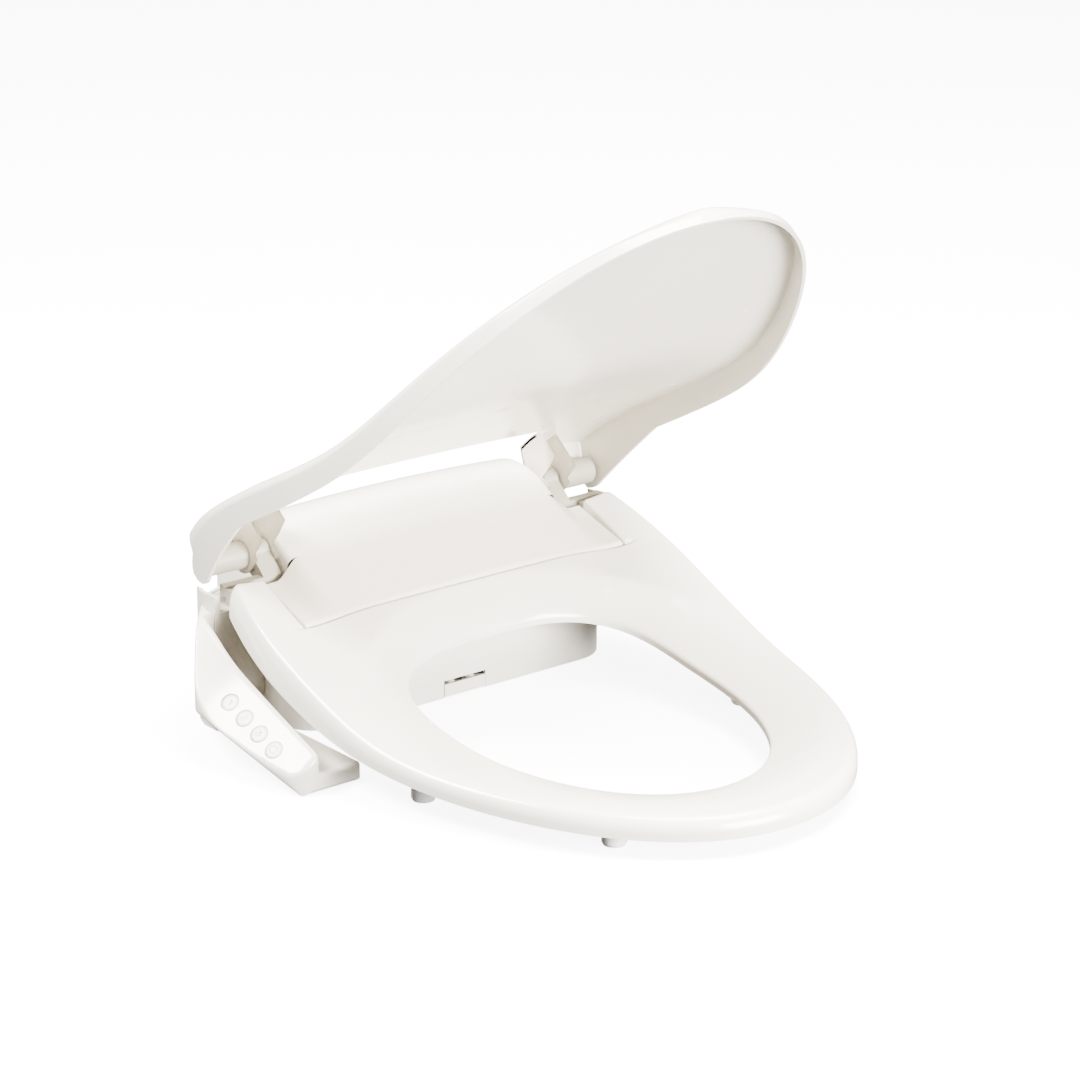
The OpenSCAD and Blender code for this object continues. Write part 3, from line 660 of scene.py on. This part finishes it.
def rounded(corners, n=6):
    """A closed outline with each (x, z, radius) corner rounded."""
    out = []
    m = len(corners)
    for k, (x, z, r) in enumerate(corners):
        p = Vector((x, z))
        a = Vector(corners[k - 1][:2]) - p
        b = Vector(corners[(k + 1) % m][:2]) - p
        la, lb = max(a.length, 1e-6), max(b.length, 1e-6)
        ra, rb = min(r, la * 0.45), min(r, lb * 0.45)
        p0, p1 = p + a / la * ra, p + b / lb * rb
        for i in range(n + 1):
            t = i / n
            out.append(p0 * (1 - t) ** 2 + p * 2 * t * (1 - t) + p1 * t ** 2)
    return out


def arm_outline(y, shrink):
    xo = through(ARM_EDGE, y) + shrink
    front = y < ARM_BACK_Y
    xi = ARM_INNER_X - shrink if front else -193.8
    xl = LEDGE_X - shrink * 0.5 if front else -193.9
    xl = max(xl, xo + 0.4)
    foot = UNDER_X + (UNDER_Z + UNDER_DY * (y - UNDER_Y)) / UNDER_DX
    foot = min(foot, xi - 1) if front else min(foot, -194.2)
    foot = max(foot, xo + 0.3)
    corners = [(xi, shrink, 1.5), (xi, LEDGE_Z - shrink, 2.5), (xl, LEDGE_Z - shrink, 3 if front else 0.01),
               (xl, max(arm_top(xl, y) - shrink, LEDGE_Z + 0.1 - shrink), 7),
               (xo, arm_top(xo, y) - shrink, 3.5),
               (xo, max(arm_under(xo, y), 0) + shrink * 0.4 - 0.5, 3),
               (foot, max(arm_under(foot, y), 0) + shrink, 8)]
    return [(p.x, y, max(p.y, 0.05)) for p in rounded(corners)]


def make_arm():
    bm = bmesh.new()
    rows = []
    tip_end = ARM_TIP_Y + ARM_TIP_R
    for y in (spread(ARM_TIP_Y, tip_end, 7, start=True) + spread(tip_end, ARM_BACK_Y - 0.05, 60)[1:]
              + spread(ARM_BACK_Y, -31.5, 18)):
        rows.append(arm_outline(y, quarter(y - ARM_TIP_Y, ARM_TIP_R)))
    grid = add_grid(bm, rows, close=True)
    bm.faces.new(list(reversed(grid[0])))
    bm.faces.new(grid[-1])
    return new_object("arm_skin", bm, "base", SHELL, 42)


BUTTON_R, BUTTON_GAP, PITCH, RING_R = 6.7, 0.3, 19.0, 5.45
CAP_PROFILE = [(0, 0.75), (1.5, 0.74), (3, 0.7), (4.5, 0.62), (5.6, 0.5), (6.1, 0.38), (6.45, 0.15),
               (6.6, -0.2), (6.65, -0.8), (6.65, -4.4), (0, -4.4)]
BUTTONS = [("dry_button", "dry_key"), ("rear_wash_button", "rear_wash_key"),
           ("front_wash_button", "front_wash_key"), ("stop_button", "stop_key")]


def button_spot(i):
    """From the middle of button i, with z out of the panel, to the part's frame."""
    return PANEL @ Matrix.Translation((0, PITCH * (1.5 - i) * MM, 0))


def lathe(bm, profile, place, n=64):
    turn = [2 * math.pi * k / n for k in range(n)]
    rows = [[(r * math.cos(a), r * math.sin(a), z) for a in turn] for r, z in profile]
    add_grid(bm, rows, place, close=True)


def cut(obj, cutter):
    m = obj.modifiers.new("cut", "BOOLEAN")
    m.operation = "DIFFERENCE"
    m.solver = "EXACT"
    m.object = cutter
    bpy.context.view_layer.objects.active = obj
    bpy.ops.object.modifier_apply(modifier="cut")
    bpy.data.objects.remove(cutter)


arm = make_arm()
for i in range(4):
    bm = bmesh.new()
    hole_r = BUTTON_R + BUTTON_GAP
    lathe(bm, [(0, -7), (hole_r, -7), (hole_r, 6), (0, 6)], lambda p, m=button_spot(i): m @ p, 72)
    bmesh.ops.remove_doubles(bm, verts=bm.verts, dist=1e-6)
    bmesh.ops.recalc_face_normals(bm, faces=bm.faces)
    mesh = bpy.data.meshes.new("cutter")
    bm.to_mesh(mesh)
    bm.free()
    tool = bpy.data.objects.new("cutter", mesh)
    bpy.context.scene.collection.objects.link(tool)
    cut(arm, tool)
arm.data.set_sharp_from_angle(angle=math.radians(42))
bevel(arm, 0.25, 2, 60)
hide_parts("arm_cover", "panel_film")


def stroke(bm, pts, width, lift, place, closed=False):
    """A thin raised ribbon along points in the plane of a button or panel."""
    n = len(pts)
    rows = []
    for k, (x, y) in enumerate(pts):
        a = pts[k - 1] if (k or closed) else pts[k]
        b = pts[(k + 1) % n] if (k < n - 1 or closed) else pts[k]
        d = Vector((b[0] - a[0], b[1] - a[1]))
        d = d.normalized() if d.length else Vector((1, 0))
        ox, oy = -d.y * width / 2, d.x * width / 2
        rows.append([(x - ox, y - oy, lift), (x - ox * 0.8, y - oy * 0.8, lift + 0.06),
                     (x + ox * 0.8, y + oy * 0.8, lift + 0.06), (x + ox, y + oy, lift)])
    if closed:
        rows.append(rows[0])
    add_grid(bm, rows, place)


def wave(x0, x1, y, height, turns, steps=24):
    return [(x0 + (x1 - x0) * k / steps, y + height * math.sin(2 * math.pi * turns * k / steps))
            for k in range(steps + 1)]


def box_loop(half, r):
    pts = []
    c = half - r
    for cx, cy, a0 in ((c, c, 0), (-half + r, c, 90), (-half + r, -half + r, 180), (c, -half + r, 270)):
        for k in range(7):
            a = math.radians(a0 + 15 * k)
            pts.append((cx + r * math.cos(a), cy + r * math.sin(a)))
    return pts


for i, (node, body) in enumerate(BUTTONS):
    place = lambda p, m=button_spot(i): m @ p
    bm = bmesh.new()
    lathe(bm, CAP_PROFILE, place)
    cap = new_object(node + "_cap", bm, body, BUTTON, 50)
    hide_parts(node)
    bm = bmesh.new()
    turn = [2 * math.pi * k / 48 for k in range(48)]
    ring = [(RING_R * math.cos(a), RING_R * math.sin(a)) for a in turn]
    stroke(bm, ring, 0.22, 0.5, place, closed=True)
    new_object(node + "_ring", bm, body, RED_INK if i == 3 else INK, 50)
    bm = bmesh.new()
    if i == 0:
        for k, tall in enumerate((1.4, 2.3, 3.2)):
            stroke(bm, [(-1.4 + 1.4 * k, -1.8), (-1.4 + 1.4 * k, -1.8 + tall)], 0.85, 0.72, place)
    elif i < 3:
        stroke(bm, wave(-2.6, 2.6, 1.1, 0.75, 1), 0.55, 0.7, place)
        stroke(bm, wave(-2.6, 2.6, -1.1, 0.75, 1 if i == 1 else 1.5), 0.55, 0.7, place)
    else:
        stroke(bm, box_loop(2.5, 0.9), 0.5, 0.7, place, closed=True)
    new_object(node + "_icon", bm, body, RED_INK if i == 3 else INK, 50)
    bm = bmesh.new()
    y = 0.0
    for k, long in enumerate((1.5, 0.7, 1.1)):
        stroke(bm, [(-9.6, -2.2 + y), (-9.6, -2.2 + y + long)], 0.4, 0.02, place)
        y += long + 0.5
    new_object(node + "_label", bm, "base", RED_INK if i == 3 else INK, 50)

# bevel widths on the CAD pieces that show as they are
EDGES = (
    ("base_tray", 1.2), ("seat_bottom", 0.4), ("seat_bumpers", 0.8), ("seat_hinge_arms", 0.8),
    ("lid_hinge_barrels", 1.0), ("nozzle_shield", 0.5), ("mounting_bracket", 0.4), ("water_inlet", 0.6),
    ("cord_gland", 0.6), ("heater_tank", 1.5), ("tank_cap", 1.0), ("water_valve", 1.0),
    ("nozzle_guide", 0.4), ("nozzle_carriage", 0.5), ("nozzle_tubes", 0.4), ("arm_floor", 0.4),
    ("power_relay", 0.5), ("board_parts", 0.4), ("nozzle_motor", 0.6),
)
for node, width in EDGES:
    bevel(frame["nodes"][node], width, 2, 40)

# ---------------------------------------------------------------- floor, light, camera
floor_mat = plastic("studio_floor", (0.93, 0.93, 0.93), rough=0.7, coat=0.0, grain=0.0, vary=0.004)
glow = floor_mat.node_tree.nodes["Principled BSDF"]
glow.inputs["Emission Color"].default_value = (1, 1, 1, 1)
glow.inputs["Emission Strength"].default_value = 7.5
bpy.ops.mesh.primitive_plane_add(size=40, location=(0, 0, cad_box[0][2] - 0.0005))
floor = bpy.context.object
floor.name = "studio_floor"
floor.data.materials.append(floor_mat)
# the glowing floor is seen by the camera but does not light the object or show in its gloss
floor.visible_diffuse = False
floor.visible_glossy = False

world = bpy.data.worlds.new("studio")
bpy.context.scene.world = world
world.use_nodes = True
world.node_tree.nodes["Background"].inputs["Color"].default_value = (1, 1, 1, 1)
world.node_tree.nodes["Background"].inputs["Strength"].default_value = 0.3


def area_light(name, loc, size, power_w, target=(0, -0.15, 0.1)):
    light = bpy.data.lights.new(name, "AREA")
    light.shape = "RECTANGLE"
    light.size, light.size_y = size
    light.energy = power_w
    obj = bpy.data.objects.new(name, light)
    obj.location = loc
    obj.rotation_euler = (Vector(target) - Vector(loc)).to_track_quat("-Z", "Y").to_euler()
    bpy.context.scene.collection.objects.link(obj)


area_light("key_left", (-1.7, 0.55, 2.3), (1.1, 1.1), 560)
area_light("fill_front", (0.6, -2.8, 0.55), (1.6, 1.2), 720)
area_light("top_soft", (0.5, -0.6, 2.6), (1.6, 1.6), 560)

camera = bpy.data.cameras.new("camera")
camera.lens = 121.67
camera.sensor_width = 36
camera.shift_x = 0.0694
camera.shift_y = 0.0412
camera_obj = bpy.data.objects.new("camera", camera)
camera_obj.location = (-1.602, -2.133, 1.002)
camera_obj.rotation_euler = (math.radians(70.55), 0, math.radians(-38.2))
bpy.context.scene.collection.objects.link(camera_obj)
bpy.context.scene.camera = camera_obj
